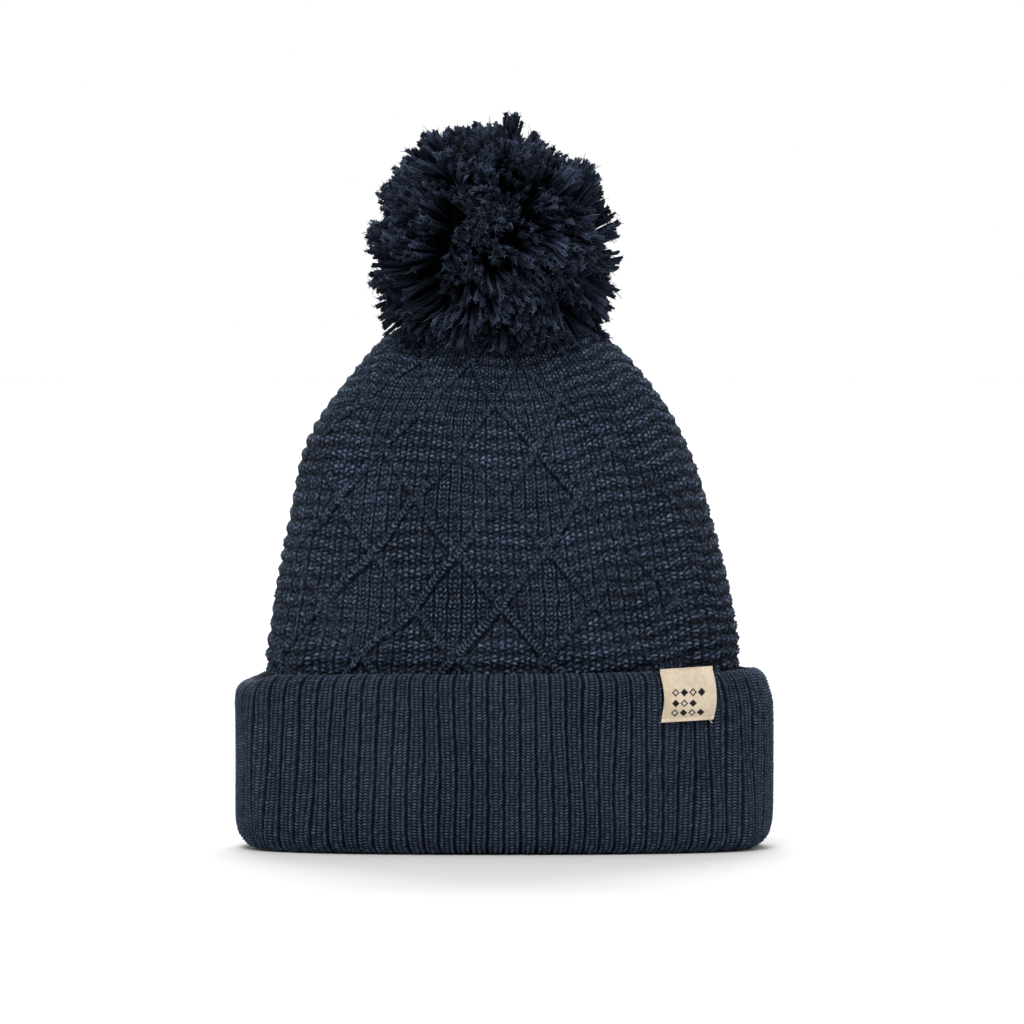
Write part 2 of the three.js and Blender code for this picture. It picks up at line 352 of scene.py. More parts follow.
RIB_SAMPLES = 18  # across one column
RIB_ROW = 0.26
# gap sets how much painted shade darkens the sides of each rib.
RIB_STITCH = {"groove": 1.05, "lobe": 0.72, "slant": 0.95, "arc": 0.5, "gap": 0.65, "seed": 15}
RIB_RELIEF = 1.9  # relief at which a point counts as deep and gets the most painted shade
TUCK = 2.6  # how far the right end of the cuff's top is drawn in
LEFT_DROP = 4.4  # how far the cuff's top comes down at its ends
RIGHT_DROP = 1.3
END_LIFT = 3.4  # how far the fold lifts off the table at its ends
BAND_SECTION = [  # half width, height, relief share, row step
    (97.0, 62.0, 0.5, 0.8),
    (99.4, 40.0, 0.8, 0.62),
    (100.9, 20.0, 0.9, 0.62),
    (101.4, 8.0, 1.0, 0.5),
    (102.8, 2.7, 1.2, 0.36),
    (105.2, 0.35, 1.5, RIB_ROW),
    (108.4, 0.35, 1.5, RIB_ROW),
    (111.2, 2.1, 1.4, RIB_ROW),
    (112.6, 5.6, 1.1, RIB_ROW),
    (113.2, 12.0, 1.0, RIB_ROW),
    (113.3, 34.0, 1.0, RIB_ROW),
    (113.3, 56.0, 1.0, RIB_ROW),
    (113.2, 67.5, 1.0, RIB_ROW),
    (112.3, 72.2, 1.0, RIB_ROW),
    (109.8, 74.8, 0.9, RIB_ROW),
    (106.0, 75.1, 0.6, RIB_ROW),
    (104.3, 72.4, 0.3, 0.5),
    (106.2, 67.2, 0.05, 1.4),
    (108.2, 62.0, 0.0, 3.0),
    (109.3, 54.0, 0.0, 5.0),
    (109.5, 30.0, 0.0, 5.0),
    (109.3, 9.0, 0.0, 2.0),
    (108.6, 5.4, 0.0, 1.4),
    (107.1, 3.9, 0.0, 1.2),
    (105.6, 5.4, 0.0, 1.4),
    (104.7, 9.0, 0.0, 2.0),
    (104.2, 20.0, 0.0, 5.0),
    (102.8, 40.0, 0.0, 5.0),
    (100.3, 62.0, 0.1, 1.6),
    (97.0, 62.0, 0.5, 0.8),
]


def build_band(material):
    path, run = dense_path(BAND_SECTION, loop=True)
    rows, at = pick_rows(path, run, path[:, 3])
    turn = column_turns(COLUMNS * RIB_SAMPLES)[None, :]
    wide, z, relief = (rows[:, k : k + 1] for k in range(3))
    uneven = waves(turn, z, 11, 7, 7, 160.0)
    top_share = smoothstep(50, 74, z)
    tucked = TUCK * smoothstep(0.3, 1.0, np.cos(turn)) * smoothstep(58, 75, z)
    around = wide + 0.5 * uneven - tucked * smoothstep(104.0, 108.0, wide)
    x, y = plan_point(around, around - BAND_INSET, turn, SQUARENESS)
    across = x / HALF_WIDTH
    ends_down = LEFT_DROP * smoothstep(0.82, 0.97, -across) + RIGHT_DROP * smoothstep(0.82, 0.97, across)
    top_wave = top_share * (0.7 * waves(turn, 0 * z, 12, 6, 9, 100.0) + 0.9 * across - ends_down)
    end_lift = END_LIFT * smoothstep(0.88, 1.0, np.abs(across)) ** 2 * smoothstep(26, 0, z)
    points = np.stack([x, y, z + top_wave + end_lift], axis=2)
    normal = surface_normals(points)
    column = np.arange(COLUMNS * RIB_SAMPLES)[None, :] / RIB_SAMPLES
    lean = 0.3 * smoothstep(-0.15, -0.8, across) * (1 - z / 37) * (y < 0) * smoothstep(1.0, 0.85, -across)
    wander = 0.09 * waves(turn, z, 13, 9, 23, 55.0) + lean
    wander = wander + 0.025 * waves(turn, z, 41, 9, 150, 6.0)
    course = at[:, None] / RIB_COURSE + 0.4 * waves(turn, z, 14, 8, 31, 60.0)
    course = course + 0.1 * waves(turn, z, 42, 9, 150, 6.0)
    height, shine, pick = knit_relief(column + wander, course, **RIB_STITCH)
    points = points + normal * (height * relief)[:, :, None]
    points[:, :, 2] = np.maximum(points[:, :, 2], 0.0)
    faces = grid_faces(len(rows), points.shape[1], True, True)
    # stitch carries the painted light and shade of the stitches; depth sets painted shade in the grooves.
    stitch = shine * np.minimum(relief, 1) + 0.5 * np.maximum(1 - relief, 0)
    attributes = {"stitch": stitch, "pick": pick, "depth": 1 + height / RIB_RELIEF}
    return make_object("ribbed_band_knit", points, faces, attributes=attributes, material=material)


# ---------------- crown

WALE_SAMPLES = 14  # across one column of two wales
# gap sets how much painted shade darkens the sides of each column.
CROWN_STITCH = {"groove": 0.26, "lobe": 1.1, "slant": 0.8, "arc": 0.6, "gap": 0.2, "seed": 25}
CROWN_RELIEF = 2.4  # relief at which a point counts as deep and gets the most painted shade
CORD_HALF = 1.85  # half width of the lattice's raised diagonals
CROWN_GUIDE = [  # half width, height, half depth
    (100.4, CROWN_FOOT, 51.4),
    (99.9, 78.0, 53.2),
    (95.8, 105.0, 56.4),
    (90.0, 134.0, 57.4),
    (81.6, 165.0, 53.8),
    (69.5, 189.0, 45.7),
    (47.3, 214.0, 31.7),
    (24.0, 223.7, 17.6),
    (5.4, CROWN_TOP, 5.4),
]
CROWN_WALL = 3.4


def crown_rows():
    """The crown's rows up the outside and down the inside, how far along each is, and 1 on the outside."""
    outside, run = dense_path(CROWN_GUIDE)
    rows, at = pick_rows(outside, run, CROWN_COURSE / 5, loop=False)
    along = np.gradient(rows[:, :2], axis=0)
    along /= np.linalg.norm(along, axis=1, keepdims=True)
    fade = np.clip(np.arange(len(rows))[::-1] / 12, 0, 1)
    inner = rows.copy()
    inner[:, 0] -= along[:, 1] * CROWN_WALL * fade
    inner[:, 2] -= along[:, 1] * CROWN_WALL * fade
    inner[:, 1] += along[:, 0] * CROWN_WALL
    inner = inner[::-3]
    everything = np.concatenate([rows, inner])
    outer_share = np.concatenate([np.ones(len(rows)), np.zeros(len(inner))])
    return everything, np.concatenate([at, at[::-3]]), outer_share


def lattice(column, up, turn):
    """Distances in mm off and along the nearest raised diagonal, the kind of diamond, the distance from its
    edge, and which way the diagonal rises."""
    across = column / (COLUMNS / DIAMONDS)
    wide = TURN * 76 / DIAMONDS  # a diamond's usual width on the surface
    rise = (up - LATTICE_FOOT + CROWN_FOOT) / DIAMOND_HEIGHT
    p = across + rise + 0.5 + 0.035 * waves(turn, up, 27, 9, 19, 60.0)
    q = across - rise + 0.5 + 0.035 * waves(turn, up, 28, 9, 19, 60.0)
    steep = math.hypot(1 / wide, 1 / DIAMOND_HEIGHT)
    p_off = (p - np.round(p)) / steep
    q_off = (q - np.round(q)) / steep
    rising_left = np.abs(p_off) < np.abs(q_off)
    off = np.where(rising_left, p_off, q_off)
    along = np.where(rising_left, q, p) / (2 / (wide * DIAMOND_HEIGHT * steep))
    kind = (np.floor(p) + np.floor(q)) % 2
    edge = np.minimum(np.abs(p_off), np.abs(q_off))
    return off, along, kind, edge, rising_left


def build_crown(material):
    rows, at, outer = crown_rows()
    wide, z, deep = (rows[:, k : k + 1] for k in range(3))
    outer = outer[:, None]
    turn = column_turns(COLUMNS * WALE_SAMPLES)[None, :]
    rising = np.clip((z - 180) / (CROWN_TOP - 180), 0, 1)
    squareness = SQUARENESS + (2 - SQUARENESS) * rising
    soft = waves(turn, z, 21, 8, 5, 150.0) * smoothstep(0, 30, CROWN_TOP - z)
    pucker = waves(turn, 0 * z, 22, 10, 26, 50.0) * bell(z, 80, 7)
    overhang = 0.7 * bell(z, 83, 7)
    right = np.cos(turn)
    fuller = 2.8 * bell(z, 172, 20) * smoothstep(0.4, 0.95, -right)
    tighter = 2.4 * bell(z, 78, 10) * smoothstep(0.5, 0.95, right)
    swelled = 0.9 * soft + 1.1 * pucker + overhang + fuller - tighter
    x, y = plan_point(wide + swelled, deep + swelled + 1.4 * overhang, turn, squareness)
    points = np.stack([x + lean_at(z), y, z + 0 * turn], axis=2)
    normal = surface_normals(points)
    up = at[:, None] + 0 * turn
    right = x / wide
    front = y < 0
    side_share = np.abs(right)
    mossy = smoothstep(0.22, 0.6, right) * front
    drift = 13.0 * smoothstep(0.15, 1.0, right) * front + 1.6 * waves(turn, z, 29, 9, 9, 70.0)
    column = np.arange(COLUMNS * WALE_SAMPLES)[None, :] / WALE_SAMPLES
    column = column + 0.13 * waves(turn, z, 23, 10, 27, 45.0) + 0.045 * waves(turn, z, 43, 10, 130, 8.0)
    course = (up - drift) / CROWN_COURSE + 0.35 * waves(turn, z, 24, 10, 33, 40.0)
    course = course + 0.13 * waves(turn, z, 44, 10, 130, 8.0)
    off, along, kind, edge, rising_left = lattice(column, up - 0.4 * drift, turn)
    ribs, rib_shine, rib_pick = knit_relief(column, course, **CROWN_STITCH)
    purl, purl_shine, purl_pick = garter_relief(column, course, 0.5 - 0.2 * mossy, 1.05, 26)
    share = np.where(kind > 0.5, 0.74, 0.2)
    share = 0.5 + (share - 0.5) * smoothstep(0, 2.5, edge)
    share = share * (1 - 0.35 * smoothstep(0.8, 0.98, side_share)) * (1 - 0.6 * mossy)
    share = np.clip(share + 0.25 * waves(turn, z, 32, 9, 25, 22.0), 0, 1)
    height = ribs * share + purl * (1 - share)
    swell = (0.5 + 0.5 * np.cos(TURN * course / 3)) ** 0.6
    edge_on = smoothstep(0.78, 0.98, side_share) * (1 + 0.35 * waves(turn, z, 34, 7, 7, 22.0))
    height = height - (0.3 + 0.1 * mossy + 0.6 * edge_on) * (1 - swell)
    shine = rib_shine * share + purl_shine * (1 - share)
    # Painted shade between the garter ridges.
    shine = shine * (1 - (0.25 + 0.2 * mossy) * (1 - swell))
    pick = np.where(share > 0.45, rib_pick, purl_pick)
    favoured = np.where(rising_left, smoothstep(-0.3, 0.3, right), smoothstep(0.3, -0.3, right))
    drawn = (0.5 + 0.38 * favoured) * (1 - 0.5 * mossy) * (1 - 0.45 * smoothstep(0.85, 0.98, side_share))
    drawn = drawn * np.clip(1 + 0.4 * waves(turn, z, 30, 9, 23, 26.0), 0.4, 1.25)
    reach = np.abs(off)
    bead = lobe_shape(along / 2.05 - 0.55 * reach / 2.0 + 0.25 * waves(turn, z, 45, 9, 120, 9.0), 0.9)
    cord = np.clip(1 - (reach / CORD_HALF) ** 2, 0, 1) ** 0.5
    cleft = 1 - 0.6 * bell(reach, 0, 0.3)
    cord_height = -1.4 + 0.6 * cord * cleft + 0.75 * bead * cord
    on_cord = smoothstep(1.95, 1.4, reach) * np.clip(drawn * 0.95, 0, 1)
    # Each diagonal's flank is a groove and also painted shadow, stronger on its lower side.
    flank = bell(reach, 2.5, 0.65) * drawn
    flank = flank * np.where(off * (1 - 2 * rising_left) > 0, 1.0, 0.45)
    height = (height - 1.1 * flank) * (1 - on_cord) + cord_height * on_cord
    height = height + np.random.default_rng(36).normal(0, 0.06, height.shape)
    # Painted light on the cord's beads; painted shade along its flanks and cleft.
    shine = shine * (1 - on_cord) * (1 - 0.7 * flank) + 0.85 * bead * cord * cleft * on_cord
    narrow = np.clip(wide / 60, 0.15, 1)
    height = height * (outer * narrow + (1 - outer) * 0.3 * narrow)
    points = points + normal * height[:, :, None]
    faces = grid_faces(len(rows), points.shape[1], True, True)
    # stitch carries the painted light and shade, depth the painted shade in hollows.
    attributes = {"stitch": shine, "pick": pick, "depth": np.clip(1 + height / CROWN_RELIEF, 0, 1.2)}
    return make_object("knit_crown_knit", points, faces, attributes=attributes, material=material)


# ---------------- pom pom

PETALS = 300
YARNS_PER_PETAL = 16
PLIES = 3
PLY_OFFSET = 0.4
STRAND_STEPS = 8
FIBRES_PER_STRAND = 4
STRAND_ROOT = 6.0  # distance from the tie at which the strands start
HEART_RADIUS = 29  # the dense middle of the pile, seen through its partings, painted nearly black as shade
DOME_CENTRE = np.array([LEAN, 0.0, 150.0])
DOME_AXES = np.array([85.0, 56.0, 76.5])
BUNCHES = 30  # groups of petals that lean together
CREST = (0.13, -0.2, 1.0)  # where one tuft stands above the rest
CREST_HALF = 0.085  # its half width, as a share of its reach
HOLLOWS = [  # where the outline sinks in: direction, share of the reach
    ((0.66, -0.1, 0.72), 0.13),
    ((-0.12, 0.0, 1.0), 0.05),
    ((-0.85, 0.0, -0.62), 0.04),
]


def off_the_crown(points, gap):
    """Moves points that would be inside the top of the crown out to its surface."""
    from_centre = points - DOME_CENTRE
    size = np.linalg.norm(from_centre / (DOME_AXES + gap), axis=-1, keepdims=True)
    return DOME_CENTRE + from_centre / np.minimum(np.maximum(size, 0.3), 1)


def sphere_spots(count, rng, scatter):
    """Directions spread evenly over a sphere, each moved a little."""
    index = np.arange(count) + 0.5
    z = 1 - 2 * index / count
    angle = math.pi * (1 + 5**0.5) * index
    spots = np.stack([np.sqrt(1 - z * z) * np.cos(angle), np.sqrt(1 - z * z) * np.sin(angle), z], axis=1)
    return unit(spots + rng.normal(0, scatter, spots.shape))


def bunched(spots, rng):
    """How each petal's tip moves over the sphere with its bunch, and how much taller the bunch is."""
    middles = sphere_spots(BUNCHES, rng, 0.12)
    closeness = spots @ middles.T
    owner = np.argmax(closeness, axis=1)
    towards = middles[owner] - spots * closeness[np.arange(len(spots)), owner][:, None]
    squeeze = rng.uniform(0.06, 0.3, (BUNCHES, 1))[owner]
    together = rng.normal(0, 0.15, (BUNCHES, 3))[owner]
    shift = towards * squeeze + together + rng.normal(0, 0.06, spots.shape)
    shift = shift - spots * np.sum(shift * spots, axis=1, keepdims=True)
    return shift, rng.normal(0, 0.022, BUNCHES)[owner]


def pom_strands(rng):
    """Middle lines, radii and tints of the cut yarn's plies, gathered in petals that lean in bunches."""
    spots = sphere_spots(PETALS, rng, 0.05)
    spots = spots[spots[:, 2] > -0.82]
    petals = len(spots)
    shift, taller = bunched(spots, rng)
    low = smoothstep(-0.1, -0.55, spots[:, 2])
    fringe = low * smoothstep(0.0, -0.5, spots[:, 1])
    crest = int(np.argmax(spots @ unit(np.array(CREST))))
    beside = smoothstep(0.9, 0.99, spots @ spots[crest])
    reach = POM_RADIUS * (rng.uniform(0.91, 1.0, petals) + taller)
    reach = reach * (1 + 0.07 * low + 0.24 * fringe - 0.02 * beside)
    for towards, depth in HOLLOWS:
        reach = reach * (1 - depth * smoothstep(0.88, 0.97, spots @ unit(np.array(towards))))
    reach[crest] = POM_RADIUS
    shift = shift * (1 - 0.5 * low[:, None])
    shift[crest] = 0
    half = rng.uniform(0.09, 0.16, petals)
    half[crest] = CREST_HALF
    shade = rng.uniform(0, 1, petals)
    owner = np.repeat(np.arange(petals), YARNS_PER_PETAL)
    count = len(owner)
    side = unit(np.cross(spots, OBLIQUE))
    other = np.cross(spots, side)
    disc = np.sqrt(rng.random(count))
    angle = rng.uniform(0, TURN, count)
    offset = side[owner] * (disc * np.cos(angle))[:, None] + other[owner] * (disc * np.sin(angle))[:, None]
    offset = offset * half[owner][:, None]
    s = np.linspace(0, 1, STRAND_STEPS)[None, :, None]
    heading = spots[owner][:, None] + shift[owner][:, None] * s**1.6
    heading = unit(heading + offset[:, None] * (0.45 + 0.6 * s) + rng.normal(0, 0.03, (count, 1, 3)) * s**2)
    length = reach[owner] * (1 - 0.07 * disc**2) * rng.normal(1.0, 0.022, count)
    length = np.minimum(length, reach[owner] * 1.03)[:, None, None]
    points = POM_CENTRE + heading * (STRAND_ROOT + (length - STRAND_ROOT) * s)
    wave = rng.uniform(0, TURN, (count, 1, 1)) + rng.uniform(4.0, 9.0, (count, 1, 1)) * s
    points = points + unit(np.cross(heading, rng.normal(size=(count, 1, 3)))) * np.sin(wave) * 0.6 * s
    points[:, :, 2:3] -= 4.0 * np.clip(-heading[:, :, 2:3], 0, 1) * s**2
    points = off_the_crown(points, 2.0)
    side = unit(np.cross(heading[:, -1:], OBLIQUE))
    other = np.cross(heading[:, -1:], side)
    plies = []
    for k in range(PLIES):
        turn = rng.uniform(0, 1, (count, 1, 1)) * 0.6 + TURN * (k / PLIES + 1.3 * s)
        opened = PLY_OFFSET * (0.85 + 0.65 * smoothstep(0.8, 1.0, s)) * rng.uniform(0.7, 1.3, (count, 1, 1))
        ply = points + (side * np.cos(turn) + other * np.sin(turn)) * opened
        end = rng.normal(0, 0.42, (count, 1, 1)) * smoothstep(0.7, 1.0, s)
        plies.append(ply + heading * end)
    points = np.concatenate(plies)
    points[:, :, 2] = np.minimum(points[:, :, 2], PILE_HIGH[2])
    grow = np.array([0.3, 0.33, 0.37, 0.4, 0.42, 0.45, 0.56, 0.5])
    radii = grow[None, :] * rng.uniform(0.8, 1.15, (len(points), 1))
    # Strands towards a petal's rim are darker: painted shade in the crevices between petals; the rest is
    # random tone.
    tint = np.clip(rng.uniform(0, 1, count) * 0.55 + 0.3 * shade[owner] + 0.3 * (0.6 - disc), 0, 1)
    tint = np.clip(np.tile(tint, PLIES) + rng.normal(0, 0.12, len(points)), 0, 1)
    return points, radii, tint


def pom_fibres(points, radii, tint, rng):
    """Fine hairs where each strand's end has opened, a few of them long."""
    count = len(points) * FIBRES_PER_STRAND
    owner = np.repeat(np.arange(len(points)), FIBRES_PER_STRAND)
    tip = points[owner, -1]
    before = points[owner, -2]
    along = unit(tip - before)
    sideways = unit(np.cross(along, rng.normal(size=(count, 3))))
    start = before + (tip - before) * rng.uniform(0.3, 1.0, (count, 1))
    start = start + sideways * radii[owner, -2][:, None] * 0.75
    length = rng.gamma(5.0, 0.16, (count, 1)) + 0.35
    long = rng.random((count, 1)) < 0.025
    length = np.where(long, length * 2.4, length)
    s = np.linspace(0, 1, 4)[None, :, None]
    opened = np.where(long[:, :, None], 0.25, rng.uniform(0.2, 1.3, (count, 1, 1)))
    run = along[:, None] * s + sideways[:, None] * opened * s**1.3
    curl = rng.normal(0, 0.2, (count, 1, 3)) * s**2
    line = start[:, None] + (run + curl) * length[:, None]
    line = off_the_crown(line, 1.2)
    line[:, :, 2] = np.minimum(line[:, :, 2], PILE_HIGH[2] + 1.5)
    thin = np.array([0.17, 0.15, 0.12, 0.07])[None, :] * rng.uniform(0.75, 1.2, (count, 1))
    return line, thin, np.clip(tint[owner] + rng.normal(0, 0.22, count) + 0.25 * long[:, 0], 0, 1)


def strand_object(name, points, radii, tint, sides, material, ragged=0.0):
    """Strands as one mesh, which know how far out in the pile each point is."""
    rng = np.random.default_rng(35)
    vertices, quads, triangles = tubes(points, radii, sides)
    strands, steps, _ = points.shape
    if ragged:
        count = strands * steps * sides
        middle = np.repeat(points.reshape(-1, 3), sides, axis=0)
        swell = rng.uniform(1 - ragged, 1 + ragged, (count, 1))
        vertices[:count] = middle + (vertices[:count] - middle) * swell
    distance = np.linalg.norm(points - POM_CENTRE, axis=2)
    distance = distance / distance[:, -1:]
    outward = np.concatenate([np.repeat(distance.reshape(-1), sides), distance[:, -1]])
    shade = np.concatenate([np.repeat(tint, steps * sides), tint])
    return make_object(name, vertices, quads, triangles, {"outward": outward, "pick": shade}, material)


def build_pom(material, fibre_material):
    rng = np.random.default_rng(312)
    points, radii, tint = pom_strands(rng)
    strands = strand_object("pom_pile_yarn", points, radii, tint, 5, material, ragged=0.3)
    line, thin, shade = pom_fibres(points, radii, tint, rng)
    fibres = strand_object("pom_pile_fibres", line, thin, shade, 3, fibre_material)
    rows, columns = 31, 60
    turn = np.linspace(0, TURN, columns + 1)[None, :-1]
    lift = np.linspace(-math.pi / 2 + 0.05, math.pi / 2 - 0.05, rows)[:, None]
    radius = HEART_RADIUS + 2.0 * waves(turn, lift * 20, 33, 9, 9, 20.0)
    flat = radius * np.cos(lift)
    core = np.stack([flat * np.cos(turn), flat * np.sin(turn), radius * np.sin(lift)], axis=2)
    core = off_the_crown(core + POM_CENTRE, 3.0)
    # outward 0.2 gives the heart the darkest end of the yarn ramp: painted shade inside the pile.
    dark = np.full(rows * columns, 0.2)
    attributes = {"outward": dark, "pick": dark}
    faces = grid_faces(rows, columns, False, True)
    heart = make_object("pom_pile_heart", core, faces, attributes=attributes, material=material)
    return strands, fibres, heart


# ---------------- labels

LABEL_LEFT = 64.9
LABEL_WIDTH = 21.9  # as seen from the front
LABEL_FLAT = 0.0245
LABEL_SECTION = [  # half width, height
    (114.9, 55.4),
    (114.6, 56.2),
    (113.95, 57.2),
    (114.3, 59.0),
    (114.8, 62.0),
    (114.6, 67.0),
    (113.4, 72.6),
    (110.2, 76.4),
    (106.2, 77.0),
    (103.6, 74.8),
    (104.0, 70.6),
    (106.0, 65.4),
]
LABEL_THICK = 0.45
LABEL_STEP = 0.15
LABEL_COLUMNS = 170
TAIL_COLUMN = 150
LABEL_TURN = 24  # distance along the ribbon at which it goes over the cuff's edge
LABEL_SEAM = 57.2  # height of the stitches in front
HIDDEN_SEAM = 66.6  # and of those behind
STITCH_DIP = np.array([-0.3, 0.05, 0.12, 0.12, 0.05, -0.3])[:, None]
THREAD_TAIL = [  # the loose end of the thread, from its last stitch
    (0.0, -0.3, 0.0),
    (0.3, -0.8, -0.6),
    (0.9, -1.1, -1.3),
    (0.6, -1.5, -2.1),
    (1.0, -1.4, -2.8),
    (1.5, -1.6, -3.1),
]
CARE_FLAT = 0.024
CARE_COLUMNS = 49


def ribbon_object(name, outside, inside, at, width, material, mark=None):
    """A thin closed ribbon between two grids of points, which knows how far along and across each is."""
    rows, columns, _ = outside.shape
    count = rows * columns
    quads = grid_faces(rows, columns, False, False)
    index = np.arange(count).reshape(rows, columns)
    rim = np.concatenate([index[0, :], index[1:, -1], index[-1, -2::-1], index[-2:0:-1, 0]])
    following = np.roll(rim, -1)
    sides = np.stack([following, rim, rim + count, following + count], axis=1)
    vertices = np.concatenate([outside.reshape(-1, 3), inside.reshape(-1, 3)])
    faces = np.concatenate([quads, quads[:, ::-1] + count, sides])
    attributes = {
        "along": np.tile(np.repeat(at, columns), 2),
        "across": np.tile(np.linspace(0, width, columns), 2 * rows),
    }
    if mark is not None:
        attributes["mark"] = np.concatenate([mark.ravel(), np.zeros(count)])
    return make_object(name, vertices, faces, attributes=attributes, material=material)


def stitch_row(points, normal, first, dip):
    """Ten running stitches on one row of a ribbon's points, and the line they lie on."""
    line = points + normal * 0.12
    lines = []
    for start in range(first, first + 160, 16):
        lines.append(line[np.linspace(start, start + 12, 6).astype(int)] + normal[start] * dip)
    return lines, line


def lozenge(x, z, cx, cz, half_x, half_z, stroke):
    """1 on a lozenge outline, or all over it when stroke is 0."""
    ring = np.abs(x - cx) / half_x + np.abs(z - cz) / half_z
    inside = ring < 1
    if stroke:
        inside &= ring > 1 - stroke
    return inside


def label_motif(x, z):
    """A woven geometric pattern in three short rows."""
    mark = np.zeros(np.broadcast(x, z).shape, bool)
    for k in range(4):
        mark |= lozenge(x, z, 71.3 + 3.6 * k, 67.2, 1.6, 1.75, 0.0 if k % 2 else 0.42)
    for k in range(3):
        mark |= lozenge(x, z, 71.3 + 3.6 * k, 62.7, 1.6, 1.6, 0.42 if k % 2 else 0.0)
    for k in range(4):
        mark |= lozenge(x, z, 70.9 + 3.6 * k, 58.8, 1.6, 1.5, 0.0 if k % 2 else 0.42)
    return mark


def build_label(material, thread):
    path, run = dense_path(LABEL_SECTION)
    rows, at = pick_rows(path, run, LABEL_STEP, loop=False)
    in_front = at < LABEL_TURN
    share = np.linspace(0, 1, LABEL_COLUMNS)[None, :]
    wide, z = rows[:, :1], rows[:, 1:2]
    front = smoothstep(77, 74, z) * in_front[:, None]
    sway = 0.55 * np.sin(math.pi * np.clip((z - 54) / 22, 0, 1)) * front
    across = LABEL_LEFT + LABEL_WIDTH * share + 3.0 * sway
    belly = 0.7 * np.sin(math.pi * share) * np.sin(math.pi * np.clip((z - 56) / 17, 0, 1)) * front
    lip = smoothstep(57.0, 55.3, z) * (0.1 + 0.5 * (1 - share) ** 2)
    corner = 0.9 * bell(share, 0, 0.06) * smoothstep(70, 76, z)
    wave = 0.12 * np.sin(share * 9 + z * 0.4) * front
    out = wide + belly + lip + corner + wave
    turn = -np.arccos((across / out) ** (SQUARENESS / 2))
    x, y = plan_point(out, out - BAND_INSET, turn, SQUARENESS)
    tilt = (share - 0.5) * smoothstep(66, 70, z) + 0.9 * (share - 0.5) * smoothstep(61, 54.5, z)
    outside = np.stack([x, y, z + tilt], axis=2)
    normal = unit(np.cross(np.gradient(outside, axis=1), np.gradient(outside, axis=0)))
    mark = label_motif(x, z + 0 * share) & in_front[:, None]
    outside = outside + normal * np.where(mark, 0.05, 0.0)[:, :, None]
    inside = outside - normal * LABEL_THICK
    label = ribbon_object("woven_label_cloth", outside, inside, at, LABEL_FLAT / MM, material, mark)
    row = int(np.argmin(np.abs(rows[:, 1] - LABEL_SEAM) + 100 * ~in_front))
    lines, seam_line = stitch_row(outside[row], normal[row], 5, STITCH_DIP)
    lines.append(seam_line[TAIL_COLUMN] + np.array(THREAD_TAIL))
    front_stitch = thread_object("label_front_stitches", np.array(lines), 0.17, thread)
    row = int(np.argmin(np.abs(rows[:, 1] - HIDDEN_SEAM) + 100 * in_front))
    lines, _ = stitch_row(outside[row], normal[row], 8, 0.0)
    back_stitch = thread_object("label_back_stitches", np.array(lines), 0.17, thread)
    return label, front_stitch, back_stitch, float(at[-1])


def build_care_label(material, thread):
    top, bottom = CARE_HIGH[2], CARE_LOW[2]
    y = (CARE_LOW[1] + CARE_HIGH[1]) / 2
    down = [(0.3, top), (0.55, top - 7), (0.65, bottom + 3), (0.3, bottom + 0.4)]
    path, run = dense_path([(y + out, z) for out, z in down] + [(y - out, z) for out, z in reversed(down)])
    rows, at = pick_rows(path, run, 0.5, loop=False)
    share = np.linspace(0, 1, CARE_COLUMNS)[None, :]
    x = CARE_LOW[0] + (CARE_HIGH[0] - CARE_LOW[0]) * share
    drop = (top - rows[:, 1:2]) / (top - bottom)
    bow = -0.9 * drop**2 * (0.5 - 0.5 * np.cos(TURN * share * 1.2 + 0.6))
    points = np.stack([x + 0 * drop, rows[:, :1] + bow, rows[:, 1:2] + 0 * share], axis=2)
    normal = unit(np.cross(np.gradient(points, axis=1), np.gradient(points, axis=0)))
    half = normal * 0.09
    label = ribbon_object("care_label_satin", points + half, points - half, at, CARE_FLAT / MM, material)
    lines = []
    for k in range(9):
        start = CARE_LOW[0] + 1.6 + k * 2.4
        x = np.linspace(start, start + 1.9, 6)
        dip = np.array([0.25, 0.0, -0.1, -0.1, 0.0, 0.25])
        lines.append(np.stack([x, y - 0.75 + dip, np.full(6, top - 2.0)], axis=1))
    stitch = thread_object("care_label_stitches", np.array(lines), 0.16, thread)
    return label, stitch, float(at[-1])


# ---------------- seams and ties


SEAM_HALF_WIDTH = 2.6  # of a covered seam allowance
SEAM_HALF_THICK = 1.15
SEAM_PITCH = 1.7  # of the thread wound round it
CORE_SIDES = 14


def twisted_yarn(name, path, yarn_radius, pitch, material, plies=2):
    """A yarn of plies twisted about a path of points."""
    run = run_along(path)
    at = np.linspace(0, run[-1], int(run[-1] / (pitch / 9)) + 2)
    middle = at_run(path, run, at)
    tangent = unit(np.gradient(middle, axis=0))
    side = unit(np.cross(tangent, OBLIQUE))
    other = np.cross(tangent, side)
    angle = TURN * (at + pitch * np.arange(plies)[:, None] / plies)[:, :, None] / pitch
    lines = middle + (side * np.cos(angle) + other * np.sin(angle)) * yarn_radius * 0.5
    radii = np.full(lines.shape[:2], yarn_radius * 0.56)
    vertices, quads, triangles = tubes(lines, radii, 7, close_root=True)
    full = np.full(len(vertices), 0.9)
    attributes = {"outward": full, "pick": full * 0.4, "depth": full, "stitch": full}
    return make_object(name, vertices, quads, triangles, attributes, material)


def plan_ring(wide, z, samples=600):
    """A closed line round the hat at one height."""
    x, y = plan_point(wide, wide - BAND_INSET, column_turns(samples), SQUARENESS)
    ring = np.stack([x, y, np.full(samples, z)], axis=1)
    return np.concatenate([ring, ring[:1]])


def coil(radius, turns, low, high, samples):
    """A ring about the pom pom's tie, or several turns that climb."""
    turn = np.linspace(0, TURN * turns, samples)
    z = np.linspace(low, high, samples)
    return np.stack([LEAN + radius * np.cos(turn), radius * np.sin(turn), z], axis=1)


